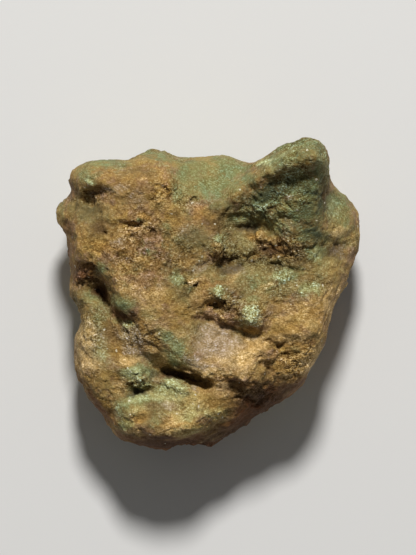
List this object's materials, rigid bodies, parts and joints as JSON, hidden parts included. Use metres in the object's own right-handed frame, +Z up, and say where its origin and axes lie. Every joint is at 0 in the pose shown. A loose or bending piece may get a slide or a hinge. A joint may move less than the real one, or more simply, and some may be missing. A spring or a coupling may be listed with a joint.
{
  "type": "turquoise nugget",
  "caption": "Rough turquoise nugget, green stone in brown matrix, lying on a worn flat, with a raised horn at one corner and a stepped lip across its top.",
  "frame": {"origin": "middle of the footprint's box, on the surface that the nugget lies on", "axes": "+Z up, away from the worn flat and towards the face with the stepped lip; +Y towards the bevelled far side; the horn stands at the +X +Y corner"},
  "size_m": [0.0352, 0.0362, 0.022],
  "materials": {
    "stone": "rough natural turquoise in granular iron-stained matrix, dull"
  },
  "bodies": {
    "root": {"nugget": "stone"}
  },
  "joints": []
}
